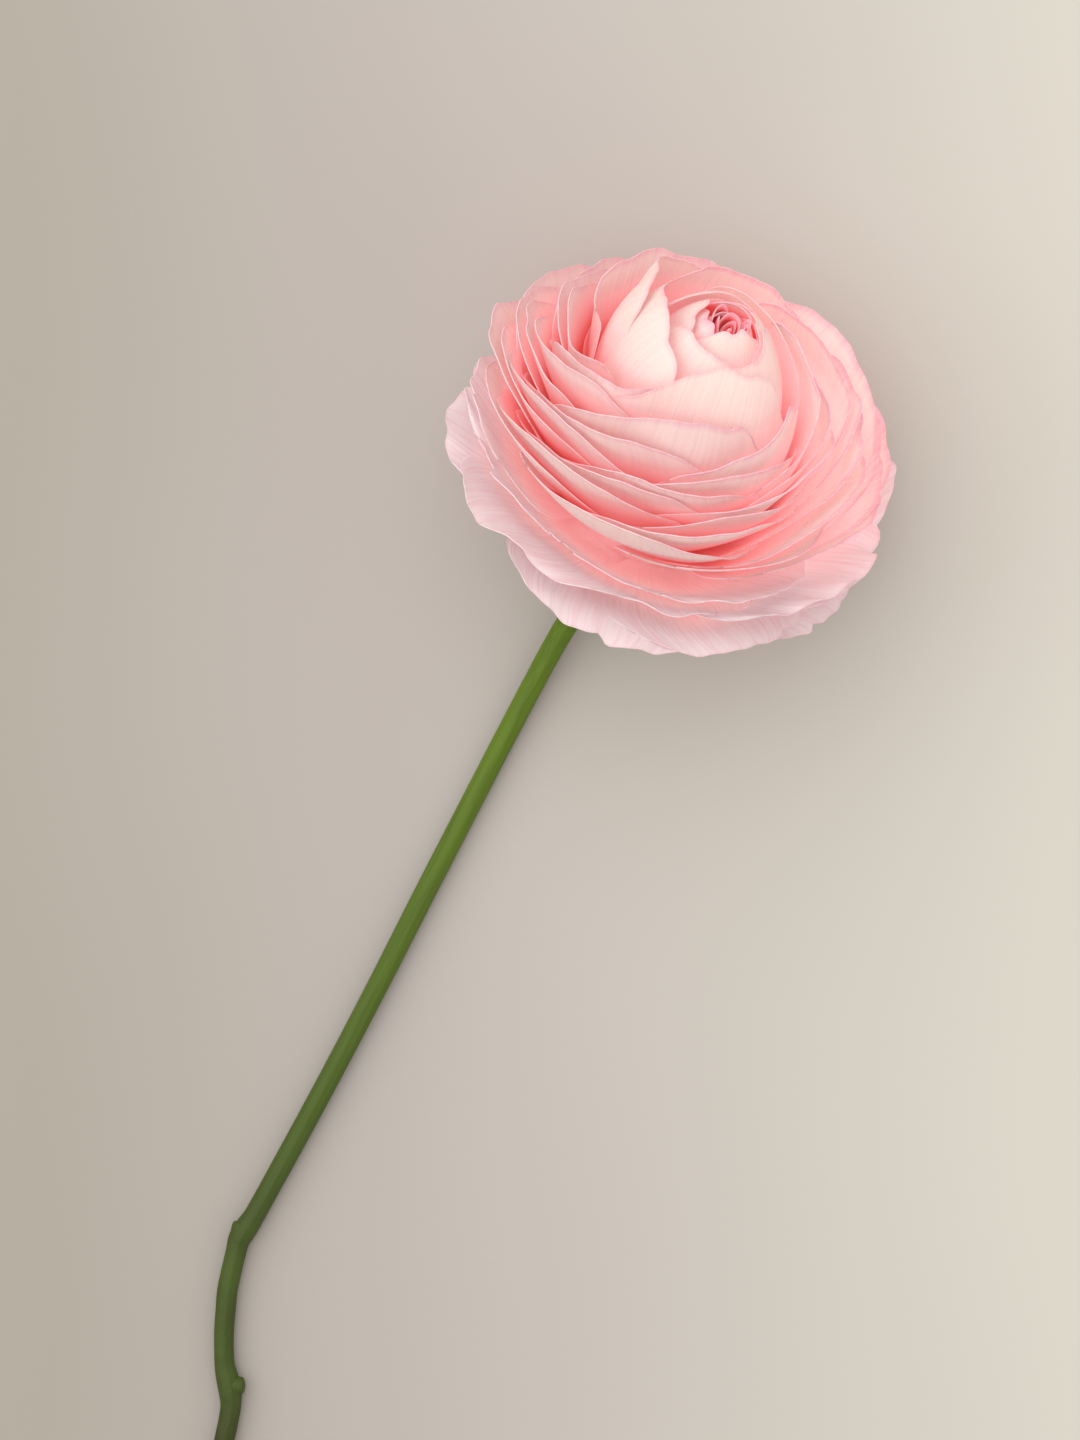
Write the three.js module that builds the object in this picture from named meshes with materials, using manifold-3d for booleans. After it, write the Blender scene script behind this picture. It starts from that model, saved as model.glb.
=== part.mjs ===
// A cut ranunculus lying on a table: a full double bloom, its calyx and its bent green stalk.
// Millimetres, +Z up. +Y runs along the stalk towards the bloom. The origin is the flat spot
// under the bloom where its lowest petals are pressed against the table.

import * as THREE from "three";
import { mergeVertices } from "three/addons/utils/BufferGeometryUtils.js";
import Module from "manifold-3d";

const wasm = await Module();
wasm.setup();

const { degToRad, lerp, clamp, euclideanModulo } = THREE.MathUtils;

// The bloom's place. Its axis leans up from the table, so the face looks up and along +Y.
const AXIS_ELEVATION = degToRad(40);
const RING_HEIGHT = 33.5; // centre of the widest ring of petals above the table
const PRESSED_HEIGHT = 0.25; // middle of a petal that is pressed flat on the table
const PRESSING_REACH = 1.2; // how softly low petals bend to meet the table
const HEART_SHIFT = 1.8; // the heart sits this far to one side of the ring's centre
const HEART_NEAR = 1.0; // and this much nearer the stalk's side
const HEART_TILT = 0.2; // and leans that way by this slope

// The flat patch under the bloom, from the foot of the ring's centre. It becomes the origin.
const REST_SPOT = [-3.0, 9.8];

// The spiral that places every petal, counted from the heart outwards.
const PETALS = 83;
const FIRST_OUTER_PETAL = 64;
const FIRST_LONG_PETAL = 75; // the outer petals above it are shorter on the stalk's side
const LONG_PETAL_TURNS = [-13, 0, -12, -8, 0, -2, 0, 0].map(degToRad); // off the spiral
const OUTER_TURN = degToRad(16); // the outer petals have slipped round by this much
const SPIRAL_START = degToRad(192);
const SPIRAL_STEP = degToRad(-137.508);

// The petals lean round the bloom like a pinwheel: their left ends stand further out, by this
// many layers a radian.
const PINWHEEL = -0.11;
const OUTER_PINWHEEL = -0.03;
const PINWHEEL_FROM = 0.3;

// The wide gap between the bud and the petals on its left: azimuth, layer and width in layers.
const GAP_AT = degToRad(-75);
const GAP_LAYER = 0.36;
const GAP_WIDTH = 0.11;

// On the other side the petals lie snug against the bud: azimuth and shift in layers.
const SNUG_AT = degToRad(125);
const SNUG = 0.06;

// Layers run from 0 at the heart to 1 at the lowest outer petal. Petal number, layer.
const LAST_INNER_LAYER = 0.82;
const FIRST_OUTER_LAYER = 0.85;
const LAYER_OF_PETAL = [
  [0, 0],
  [5, 0.08],
  [19, 0.4],
  [FIRST_OUTER_PETAL - 1, LAST_INNER_LAYER],
  [FIRST_OUTER_PETAL, FIRST_OUTER_LAYER],
  [PETALS - 1, 1],
];

// The side view of a petal in each layer, as the four control points of a curve from root to
// tip. Each point is [distance from the axis, height along it]; height 0 is the widest ring.
const PETAL_SHAPES = [
  { layer: 0.0, curve: [[0.8, -10], [3.4, 0], [4.6, 17], [1.0, 23.5]] },
  { layer: 0.05, curve: [[1.2, -10.5], [7.0, -2], [7.4, 18], [2.4, 27.4]] },
  { layer: 0.12, curve: [[1.8, -11], [11.0, -4], [12.6, 19.5], [3.0, 28.4]] },
  { layer: 0.22, curve: [[2.6, -12.5], [17.0, -8], [19.5, 19], [4.6, 28.8]] },
  { layer: 0.34, curve: [[3.6, -13.5], [21.0, -9], [24.5, 15], [13.5, 27.0]] },
  { layer: 0.42, curve: [[4.4, -14.3], [21.0, -9.5], [24.8, 11], [21.5, 23.4]] },
  { layer: 0.52, curve: [[5.0, -15], [19.0, -10], [24.0, 7], [29.0, 18.0]] },
  { layer: 0.65, curve: [[6.0, -16], [20.0, -12.5], [27.5, 1.5], [35.0, 12.0]] },
  { layer: 0.82, curve: [[6.8, -17], [22.0, -15.7], [32.7, -6.3], [40.2, 2.0]] },
  { layer: 0.85, curve: [[7.4, -20.6], [22.0, -18.2], [33.3, -9.3], [40.9, -1.5]] },
  { layer: 1.0, curve: [[8.2, -23.2], [20.0, -24.0], [33.0, -19.5], [38.5, -23.5]] },
];

// Half the width of a petal, by layer.
const HALF_WIDTHS = [
  [0, 4.5],
  [0.12, 11],
  [0.28, 17.5],
  [0.5, 25],
  [0.75, 26],
  [1, 25],
];

const PETAL_THICKNESS = 0.7;
const INNER_GRID = { across: 4, along: 3, rootAt: 0.03 };
const SEPAL_GRID = { across: 3, along: 3, rootAt: 0 };
const OUTER_GRID = { across: 5, along: 3, rootAt: 0.02 };

// The solid hearts that the petal roots are sunk into, as [distance from axis, height].
const INNER_CORE = [
  [0, -18.4],
  [7.2, -18.4],
  [15, -15.8],
  [24, -11.5],
  [29, -8],
  [28.5, -3],
  [25.5, 2],
  [21.5, 8.5],
  [15.5, 15.5],
  [9.5, 18.7],
  [4, 20],
  [0, 20.3],
];
const OUTER_CORE = [
  [0, -25.0],
  [6.5, -25.0],
  [11, -24.0],
  [20.5, -22.6],
  [26, -18.5],
  [26.5, -14.8],
  [22, -16.6],
  [16, -18.2],
  [7.5, -19.2],
  [0, -19.2],
];
const CORE_SIDES = 16;

// Calyx.
const SEPALS = 5;
const SEPAL_LENGTH = 13;
const SEPAL_HALF_WIDTH = 4.2;
const SEPAL_THICKNESS = 0.9;
const CALYX_TOP = -25.4; // on the bloom's axis
const CALYX_BOTTOM = -27.6;
const CALYX_RADIUS = 5.2;

// Stalk: centre line from the cut end to the head, as [x, y, z, radius].
const STALK_LINE = [
  [17.6, -230, 2.05, 1.98],
  [14.4, -215, 2, 1.95],
  [10.4, -203.1, 1.98, 1.9],
  [9.5, -199.9, 1.98, 1.92],
  [8.5, -197.1, 2, 1.98],
  [7.5, -195.4, 1.98, 2.15],
  [6.5, -194.1, 1.95, 2.2],
  [5.3, -192.7, 1.98, 2.1],
  [4.1, -191.2, 2, 1.92],
  [2.7, -188.8, 1.97, 1.87],
  [1, -185.5, 1.97, 1.88],
  [-0.5, -182, 2, 1.92],
  [-1.9, -178.6, 2.02, 1.95],
  [-2.7, -175.8, 2.03, 1.96],
  [-3.4, -173.1, 2.03, 1.96],
  [-3.9, -171.1, 2.03, 1.98],
  [-4.3, -169.4, 2.03, 2.1],
  [-4.3, -167.9, 2.03, 2.25],
  [-4.1, -166.3, 2.05, 2.2],
  [-3.9, -164.4, 2.1, 2.05],
  [-3.8, -161.5, 2.1, 2],
  [-3.6, -153, 2.1, 2],
  [-3.35, -139, 2.1, 2],
  [-3.25, -118, 2.12, 2.02],
  [-3.5, -97, 2.15, 2.05],
  [-3.65, -76, 2.15, 2.05],
  [-3.7, -60, 2.3, 2.05],
  [-3.65, -52, 2.8, 2.08],
  [-3.55, -45.5, 3.6, 2.12],
  [-3.2, -39, 5.1, 2.2],
  [-2.4, -34, 7.1, 2.3],
  [-1.3, -29.8, 9.4, 2.35],
];
const STALK_SIDES = 12;
const HEAD_NECK = -31.5; // where the stalk meets its flared head, on the bloom's axis
const HEAD_TOP = -27.9;
const HEAD_RADIUS = 4.3;
const CUT_SLANT = degToRad(38);
const SCAR_STUBS = [
  { at: [-4.3, -169.3, 2.2], towards: [-0.33, 0.94, 0.06], length: 3.6, radius: 1.75 },
  { at: [6.5, -194.3, 2.2], towards: [0.87, 0.47, 0.1], length: 3.2, radius: 1.7 },
];

const COLOURS = {
  stem: "#6f9636",
  sepals: "#86a04b",
  inner: "#f0a3a0",
  outer: "#f4cdcb",
};

// A fixed draw between 0 and 1 for petal number n and feature k.
function draw(n, k) {
  const s = Math.sin(n * 12.9898 + k * 78.233) * 43758.5453;
  return s - Math.floor(s);
}

function drawBetween(low, high, n, k) {
  return lerp(low, high, draw(n, k));
}

// Straight-line reading of a list of [x, value] pairs.
function readAt(x, pairs) {
  const last = pairs.length - 1;
  if (x <= pairs[0][0]) return pairs[0][1];
  if (x >= pairs[last][0]) return pairs[last][1];
  const i = pairs.findIndex((pair) => pair[0] > x) - 1;
  const share = (x - pairs[i][0]) / (pairs[i + 1][0] - pairs[i][0]);
  return lerp(pairs[i][1], pairs[i + 1][1], share);
}

// Distance from the axis and height, at a share t of the way from root to tip in a layer.
function sideView(layer, t) {
  const c = [0, 1, 2, 3].map((point) =>
    [0, 1].map((axis) =>
      readAt(
        layer,
        PETAL_SHAPES.map((shape) => [shape.layer, shape.curve[point][axis]]),
      ),
    ),
  );
  const s = 1 - t;
  const weights = [s * s * s, 3 * s * s * t, 3 * s * t * t, t * t * t];
  return [0, 1].map((axis) =>
    weights.reduce((sum, weight, point) => sum + weight * c[point][axis], 0),
  );
}

// A soft step from 0 to 1.
function eased(x) {
  const share = clamp(x, 0, 1);
  return share * share * (3 - 2 * share);
}

// An angle from a given azimuth, squared to fall from 1 there to 0 a quarter turn or so away.
function beside(azimuth, at, narrowness) {
  const off = euclideanModulo(azimuth - at + Math.PI, 2 * Math.PI) - Math.PI;
  return Math.cos(clamp(narrowness * off, -Math.PI / 2, Math.PI / 2)) ** 2;
}

// The layers are bunched and parted round the bloom, as where petals lean on each other, with
// one wide gap beside the bud and its petals snug on the other side.
function parted(layer, azimuth) {
  const wave =
    0.014 * Math.sin(2 * Math.PI * 4 * layer + azimuth + 0.6) +
    0.008 * Math.sin(2 * Math.PI * 7 * layer - 2 * azimuth + 2);
  const kept = clamp(layer / 0.15, 0, 1) * clamp((1 - layer) / 0.1, 0, 1);
  const past = layer - GAP_LAYER;
  const gap =
    GAP_WIDTH * beside(azimuth, GAP_AT, 0.8) * eased(past / 0.04) * clamp(1 - past / 0.44, 0, 1);
  const snug =
    SNUG *
    beside(azimuth, SNUG_AT, 0.9) *
    eased((layer - 0.1) / 0.2) *
    (1 - eased((layer - 0.42) / 0.3));
  return layer + wave * kept + gap - snug;
}

// Keeps a layer between two, softly at the upper end.
function squeezed(layer, lowest, highest) {
  const soft = Math.min(0.1, 0.4 * (highest - lowest));
  const over = layer - (highest - soft);
  const kept = over > 0 ? highest - soft * Math.exp(-over / soft) : layer;
  return clamp(kept, lowest, highest);
}

// From the bloom's own frame (z along its axis, -y the side that faces up) to the table's.
function toTable([x, y, along]) {
  const cos = Math.cos(AXIS_ELEVATION);
  const sin = Math.sin(AXIS_ELEVATION);
  return new THREE.Vector3(x, y * sin + along * cos, RING_HEIGHT - y * cos + along * sin);
}

// Presses what would hang below the table flat against it, without folding it.
function settled(p) {
  const depth = (p.z - PRESSED_HEIGHT) / PRESSING_REACH;
  p.z = PRESSED_HEIGHT + PRESSING_REACH * Math.log1p(Math.exp(Math.min(depth, 60)));
  if (depth > 60) p.z = PRESSED_HEIGHT + PRESSING_REACH * depth;
  return p;
}

// The middle surface of petal n: u runs from -1 to 1 across it, v from 0 at the root to 1.
function petalSurface(n) {
  const layer = readAt(n, LAYER_OF_PETAL);
  const isInner = n < FIRST_OUTER_PETAL;
  const innermost = isInner ? 0 : FIRST_OUTER_LAYER;
  const outermost = isInner ? LAST_INNER_LAYER : 1;
  const slip = isInner ? 0 : OUTER_TURN;
  const off = n < FIRST_LONG_PETAL ? 0 : LONG_PETAL_TURNS[n - FIRST_LONG_PETAL];
  const azimuth = SPIRAL_START + n * SPIRAL_STEP + slip + off;
  const lean = isInner ? PINWHEEL * eased((layer - PINWHEEL_FROM) / 0.12) : OUTER_PINWHEEL;
  const halfWidth = readAt(layer, HALF_WIDTHS);
  const width = halfWidth * drawBetween(0.92, 1.08, n, 1);
  const ruffle = drawBetween(0.001, 0.003, n, 2);
  const phase = drawBetween(0, 6.28, n, 3);
  const ruffles = 2 + Math.floor(3 * draw(n, 4));
  const tipShift = drawBetween(-0.003, 0.003, n, 5);
  const skew = drawBetween(-0.12, 0.12, n, 6);
  const short = n < FIRST_LONG_PETAL ? 0.36 * Math.max(0, Math.cos(azimuth + 0.3)) : 0;
  const stretch = isInner
    ? drawBetween(-0.09, 0.03, n, 7) * Math.min(1, layer / 0.35)
    : drawBetween(-0.03, 0.03, n, 7) - short;
  const flare = drawBetween(0.004, 0.012, n, 8);
  const twist = drawBetween(0, 0.006, n, 9);
  const rounding = 0.06 + 0.2 * Math.min(1, layer / 0.35);
  return (u, v) => {
    const edge = 1 - rounding * Math.pow(Math.abs(u), 2.3) * v * v;
    const t =
      v * edge +
      stretch * v * v +
      0.15 * skew * u * v * v +
      0.012 * Math.sin(ruffles * u * Math.PI + phase) * v * v * v;
    const swell = Math.pow(Math.sin((Math.min(v * 1.15, 1) * Math.PI) / 2), 1.1);
    const reach = width * (0.18 + 0.95 * swell) * (1 - 0.18 * Math.pow(v, 4));
    const middle =
      layer +
      tipShift * v * v +
      ruffle * Math.sin(ruffles * u * Math.PI * 1.3 + phase) * v * v * v;
    const bend = Math.max(sideView(clamp(middle, 0, 1), t)[0], 0.62 * halfWidth);
    const phi = azimuth + (u * reach) / bend;
    const opening = clamp(v * 1.3 - 0.3, 0, 1) * Math.min(1, layer / 0.2);
    const turn = lean * (phi - azimuth) * eased(t / 0.6);
    const lifted = middle + (flare * u * u + twist * u) * opening + turn;
    const [r, h] = sideView(squeezed(parted(lifted, phi), innermost, outermost), t);
    const rise = eased((h + 10) / 37);
    const near = Math.max(0, 1 - layer / 0.3) * rise;
    const x = r * Math.sin(phi) - HEART_SHIFT * rise;
    const y = -r * Math.cos(phi) - HEART_NEAR * near;
    return settled(toTable([x, y, h - HEART_TILT * r * Math.cos(phi) * near]));
  };
}

function toSolid(geometry) {
  const bare = geometry.clone();
  bare.deleteAttribute("normal");
  bare.deleteAttribute("uv");
  const merged = mergeVertices(bare, 1e-4);
  const corners = merged.index.array;
  const kept = [];
  for (let i = 0; i < corners.length; i += 3) {
    const [a, b, c] = [corners[i], corners[i + 1], corners[i + 2]];
    if (a !== b && b !== c && c !== a) kept.push(a, b, c);
  }
  return new wasm.Manifold(
    new wasm.Mesh({
      numProp: 3,
      vertProperties: new Float32Array(merged.attributes.position.array),
      triVerts: new Uint32Array(kept),
    }),
  );
}

function toGeometry(solid) {
  const mesh = solid.getMesh();
  const positions = new Float32Array(mesh.numVert * 3);
  for (let i = 0; i < mesh.numVert; i += 1) {
    positions.set(mesh.vertProperties.subarray(i * mesh.numProp, i * mesh.numProp + 3), i * 3);
  }
  const geometry = new THREE.BufferGeometry();
  geometry.setAttribute("position", new THREE.BufferAttribute(positions, 3));
  geometry.setIndex(new THREE.BufferAttribute(new Uint32Array(mesh.triVerts), 1));
  geometry.computeVertexNormals();
  return geometry;
}

// The largest body of a solid, so that no loose scrap stays.
function mainBody(solid) {
  const bodies = solid.decompose();
  return bodies.reduce((best, body) => (body.volume() > best.volume() ? body : best));
}

// A thin closed blade about a surface, both faces split into triangles alike.
function blade(surface, { across, along, rootAt }, thickness) {
  const columns = across + 1;
  const rows = along + 1;
  const mid = [];
  for (let j = 0; j < rows; j += 1) {
    for (let i = 0; i < columns; i += 1) {
      mid.push(surface((2 * i) / across - 1, lerp(rootAt, 1, j / along)));
    }
  }
  const at = (i, j) => mid[clamp(j, 0, along) * columns + clamp(i, 0, across)];
  const positions = [];
  [0.5, -0.5].forEach((side) => {
    for (let j = 0; j < rows; j += 1) {
      for (let i = 0; i < columns; i += 1) {
        const du = at(i + 1, j).clone().sub(at(i - 1, j));
        const dv = at(i, j + 1).clone().sub(at(i, j - 1));
        const normal = du.cross(dv).normalize();
        const p = at(i, j).clone().addScaledVector(normal, side * thickness);
        positions.push(p.x, p.y, p.z);
      }
    }
  });
  const faces = [];
  const back = rows * columns;
  for (let j = 0; j < along; j += 1) {
    for (let i = 0; i < across; i += 1) {
      const a = j * columns + i;
      const [b, c, d] = [a + 1, a + 1 + columns, a + columns];
      faces.push(a, b, c, a, c, d);
      faces.push(back + a, back + c, back + b, back + a, back + d, back + c);
    }
  }
  const rim = [];
  for (let i = 0; i < across; i += 1) rim.push(i);
  for (let j = 0; j < along; j += 1) rim.push(j * columns + across);
  for (let i = across; i > 0; i -= 1) rim.push(along * columns + i);
  for (let j = along; j > 0; j -= 1) rim.push(j * columns);
  rim.forEach((a, k) => {
    const b = rim[(k + 1) % rim.length];
    faces.push(a, back + a, b, b, back + a, back + b);
  });
  const geometry = new THREE.BufferGeometry();
  geometry.setAttribute("position", new THREE.Float32BufferAttribute(positions, 3));
  geometry.setIndex(faces);
  return toSolid(geometry);
}

// A body of revolution about the bloom's axis, through the same shift and settling.
function turned(outline) {
  const points = outline.map(([r, h]) => new THREE.Vector2(r, h));
  const geometry = new THREE.LatheGeometry(points, CORE_SIDES);
  const position = geometry.attributes.position;
  for (let i = 0; i < position.count; i += 1) {
    // The lathe turns about its own y, which becomes the bloom's axis.
    const p = toTable([position.getX(i), -position.getZ(i), position.getY(i)]);
    settled(p);
    position.setXYZ(i, p.x, p.y, p.z);
  }
  return toSolid(geometry);
}

function petalsBetween(first, last, grid) {
  const blades = [];
  for (let n = first; n < last; n += 1) {
    blades.push(blade(petalSurface(n), grid, PETAL_THICKNESS));
  }
  return blades;
}

// Flattens what would sink into the table.
function seatOnTable(solid) {
  const table = toSolid(new THREE.BoxGeometry(400, 700, 40).translate(0, 0, -20));
  return solid.subtract(table);
}

// A round bar along points that each carry a radius, with flat ends.
function bar(stations, sides) {
  const centres = stations.map((s) => new THREE.Vector3(s[0], s[1], s[2]));
  const positions = [];
  const up = new THREE.Vector3(0, 0, 1);
  stations.forEach((station, k) => {
    const before = centres[Math.max(k - 1, 0)];
    const after = centres[Math.min(k + 1, centres.length - 1)];
    const ahead = after.clone().sub(before).normalize();
    const side = new THREE.Vector3().crossVectors(ahead, up).normalize();
    const top = new THREE.Vector3().crossVectors(side, ahead).normalize();
    for (let i = 0; i < sides; i += 1) {
      const angle = (2 * Math.PI * i) / sides;
      const p = centres[k]
        .clone()
        .addScaledVector(side, station[3] * Math.cos(angle))
        .addScaledVector(top, station[3] * Math.sin(angle));
      positions.push(p.x, p.y, p.z);
    }
  });
  const faces = [];
  for (let k = 0; k < stations.length - 1; k += 1) {
    for (let i = 0; i < sides; i += 1) {
      const a = k * sides + i;
      const b = k * sides + ((i + 1) % sides);
      faces.push(a, b + sides, b, a, a + sides, b + sides);
    }
  }
  const end = (stations.length - 1) * sides;
  for (let i = 1; i < sides - 1; i += 1) {
    faces.push(0, i, i + 1);
    faces.push(end, end + i + 1, end + i);
  }
  const geometry = new THREE.BufferGeometry();
  geometry.setAttribute("position", new THREE.Float32BufferAttribute(positions, 3));
  geometry.setIndex(faces);
  return toSolid(geometry);
}

function sepalSurface(k) {
  const azimuth = degToRad(20) + (2 * Math.PI * k) / SEPALS;
  return (u, v) => {
    const r = lerp(3.5, 3.5 + SEPAL_LENGTH, v);
    const h = lerp(CALYX_TOP, CALYX_BOTTOM, 0.5) - 3.4 * v * v - 0.5 * u * u;
    const reach = SEPAL_HALF_WIDTH * (0.62 + 1.1 * v) * Math.sqrt(1 - 0.97 * v * v);
    const phi = azimuth + (u * reach) / Math.max(r, SEPAL_HALF_WIDTH);
    return settled(toTable([r * Math.sin(phi), -r * Math.cos(phi), h]));
  };
}

// Bloom.
const innerBlades = petalsBetween(0, FIRST_OUTER_PETAL, INNER_GRID);
const outerBlades = petalsBetween(FIRST_OUTER_PETAL, PETALS, OUTER_GRID);
const inner = mainBody(seatOnTable(wasm.Manifold.union([turned(INNER_CORE), ...innerBlades])));
const outer = mainBody(seatOnTable(wasm.Manifold.union([turned(OUTER_CORE), ...outerBlades])));

// Calyx.
const calyxRing = turned([
  [0, CALYX_BOTTOM],
  [CALYX_RADIUS, CALYX_BOTTOM],
  [CALYX_RADIUS, CALYX_TOP],
  [0, CALYX_TOP],
]);
const sepalBlades = [];
for (let k = 0; k < SEPALS; k += 1) {
  sepalBlades.push(blade(sepalSurface(k), SEPAL_GRID, SEPAL_THICKNESS));
}
const sepals = mainBody(seatOnTable(wasm.Manifold.union([calyxRing, ...sepalBlades])));

// Stalk.
const head = turned([
  [0, HEAD_NECK],
  [2.45, HEAD_NECK],
  [3.1, lerp(HEAD_NECK, HEAD_TOP, 0.5)],
  [HEAD_RADIUS, lerp(HEAD_NECK, HEAD_TOP, 0.85)],
  [HEAD_RADIUS, HEAD_TOP],
  [0, HEAD_TOP],
]);
const neck = [HEAD_NECK - 0.4, HEAD_NECK + 1.5].map((h) => {
  const p = toTable([0, 0, h]);
  return [p.x, p.y, p.z, 2.45];
});
const stalk = bar([...STALK_LINE, ...neck], STALK_SIDES);
const stubs = SCAR_STUBS.map(({ at, towards, length, radius }) => {
  const ends = [0, 0.75, 1].map((share) => [
    at[0] + towards[0] * length * share,
    at[1] + towards[1] * length * share,
    at[2] + towards[2] * length * share,
    radius * (share === 1 ? 0.72 : 1),
  ]);
  return bar(ends, 8);
});
const cutter = toSolid(
  new THREE.BoxGeometry(40, 20, 40)
    .translate(0, -10, 0)
    .rotateZ(-CUT_SLANT)
    .translate(STALK_LINE[0][0], STALK_LINE[0][1] + 3, 0),
);
const stem = mainBody(seatOnTable(wasm.Manifold.union([stalk, head, ...stubs])).subtract(cutter));

const flower = new THREE.Group();
flower.name = "ranunculus_flower";
flower.position.set(-REST_SPOT[0], -REST_SPOT[1], 0);

function addPiece(name, solid, colour, roughness) {
  const material = new THREE.MeshStandardMaterial({ color: colour, roughness, metalness: 0 });
  const mesh = new THREE.Mesh(toGeometry(solid), material);
  mesh.name = name;
  flower.add(mesh);
}

addPiece("stem", stem, COLOURS.stem, 0.5);
addPiece("sepals", sepals, COLOURS.sepals, 0.6);
addPiece("inner_petals", inner, COLOURS.inner, 0.6);
addPiece("outer_petals", outer, COLOURS.outer, 0.6);

export default flower;
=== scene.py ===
"""A double ranunculus bloom on its cut stalk, lying on a table.

Every petal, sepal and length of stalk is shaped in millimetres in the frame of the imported
solids, then scaled to metres. The petals follow the same spiral and the same side views as the
solids do. They are thinner, with finer edges, veins and margins, and on two sides their tips
reach a little further out.
"""
import functools
import math

import bpy
import numpy as np
from mathutils import Matrix, Vector
from mathutils.bvhtree import BVHTree


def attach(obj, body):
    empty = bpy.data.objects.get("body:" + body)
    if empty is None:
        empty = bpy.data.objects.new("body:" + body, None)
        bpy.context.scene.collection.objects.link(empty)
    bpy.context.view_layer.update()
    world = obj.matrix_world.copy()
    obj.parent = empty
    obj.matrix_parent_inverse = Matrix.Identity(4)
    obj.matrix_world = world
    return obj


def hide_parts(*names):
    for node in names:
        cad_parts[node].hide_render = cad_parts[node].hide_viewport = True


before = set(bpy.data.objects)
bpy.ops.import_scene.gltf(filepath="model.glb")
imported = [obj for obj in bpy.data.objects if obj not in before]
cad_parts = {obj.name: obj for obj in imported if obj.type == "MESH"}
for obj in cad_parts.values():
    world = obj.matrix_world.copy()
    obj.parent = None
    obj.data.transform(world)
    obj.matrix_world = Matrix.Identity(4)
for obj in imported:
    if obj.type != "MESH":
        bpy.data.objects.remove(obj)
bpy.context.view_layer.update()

bl_info = {
    "name": "Ranunculus flower",
    "version": (1, 0, 0),
    "blender": (4, 2, 0),
    "location": "3D View > Sidebar > Ranunculus",
    "description": "Builds a double ranunculus bloom, its calyx and its cut stalk",
    "category": "Object",
}

MM = 0.001

# The flat patch under the bloom lies at the origin. This is its place from the spot on the table
# straight below the centre of the bloom's widest ring.
REST_SPOT = np.array([-3.0, 9.8, 0.0])

# Petal number and layer. Layers run from 0 at the heart to 1 at the lowest outer petal.
LAYER_OF_PETAL = np.array([[0, 0], [5, 0.08], [19, 0.4], [63, 0.82], [64, 0.85], [82, 1.0]])
# The petals before the mouth are too small to follow the rule, so rolls stand there instead.
FIRST_MOUTH_PETAL = 5
FIRST_BUD_PETAL = 9
FIRST_PACKED_PETAL = 19
FIRST_OUTER_PETAL = 64
FIRST_LONG_PETAL = 75
LONG_PETAL_TURNS = [-13, 0, -12, -8, 0, -2, 0, 0]  # degrees off the spiral
PETALS = 83
LAST_INNER_LAYER = 0.82
FIRST_OUTER_LAYER = 0.85

# Azimuth is 0 on the bloom's near side, which is highest and above the stalk, and 90 degrees on
# its right. The outer petals are turned on from the spiral of the inner ones.
SPIRAL_START = math.radians(192)
SPIRAL_STEP = math.radians(-137.508)
OUTER_TURN = math.radians(16)

# The eye lies to the left of the bloom's axis and on its near side, and its near side stands
# lower, by a share of the distance from the axis.
HEART_SHIFT = 1.8
HEART_NEAR = 1.0
HEART_TILT = 0.2

# The petals lean round the bloom like a pinwheel: their left ends stand further out. In layers
# per radian.
PINWHEEL = -0.11
OUTER_PINWHEEL = -0.03

# The wide gap to the left of the bud: azimuth, layer and width in layers.
GAP_AT = math.radians(-75)
GAP_LAYER = 0.36
GAP_WIDTH = 0.11

# On the other side the petals lie snug against the bud: azimuth and shift in layers.
SNUG_AT = math.radians(125)
SNUG = 0.06

# The tips reach out a little less on one side and more on two others: azimuth in degrees and
# share of their distance.
TIP_REACHES = [[64, -0.055], [118, 0.085], [-88, 0.045]]

# Underneath, the bloom is pressed flat: the height of the flat, and how softly petals meet it.
PRESSED_HEIGHT = 0.25
PRESSING_REACH = 1.2

# A petal's side view in each layer: root, two handles and tip of a curve, each as distance from
# the bloom's axis and height along it.
PETAL_LAYERS = [0, 0.05, 0.12, 0.22, 0.34, 0.42, 0.52, 0.65, 0.82, 0.85, 1.0]
PETAL_CURVES = np.array([
    [[0.8, -10], [3.4, 0], [4.6, 17], [1.0, 23.5]],
    [[1.2, -10.5], [7.0, -2], [7.4, 18], [2.4, 27.4]],
    [[1.8, -11], [11.0, -4], [12.6, 19.5], [3.0, 28.4]],
    [[2.6, -12.5], [17.0, -8], [19.5, 19], [4.6, 28.8]],
    [[3.6, -13.5], [21.0, -9], [24.5, 15], [13.5, 27.0]],
    [[4.4, -14.3], [21.0, -9.5], [24.8, 11], [21.5, 23.4]],
    [[5.0, -15], [19.0, -10], [24.0, 7], [29.0, 18.0]],
    [[6.0, -16], [20.0, -12.5], [27.5, 1.5], [35.0, 12.0]],
    [[6.8, -17], [22.0, -15.7], [32.7, -6.3], [40.2, 2.0]],
    [[7.4, -20.6], [22.0, -18.2], [33.3, -9.3], [40.9, -1.5]],
    [[8.2, -23.2], [20.0, -24.0], [33.0, -19.5], [38.5, -23.5]],
])
# Layer and half the width of its petals.
HALF_WIDTHS = np.array([[0, 4.5], [0.12, 13.5], [0.28, 20], [0.5, 25], [0.75, 26], [1, 25]])
# A petal's curve across is never tighter than this share of its half width.
TIGHTEST_CURVE = 0.62
# Petals start this share of the way along their side view.
PETAL_ROOT = 0.08
# The first outer petals are shorter on the near side, so that the long ones show past them.
NEAR_SHORTENING = 0.36
# Outer petals ruffle this much more deeply than inner ones.
OUTER_RUFFLE = 2.6
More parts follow.
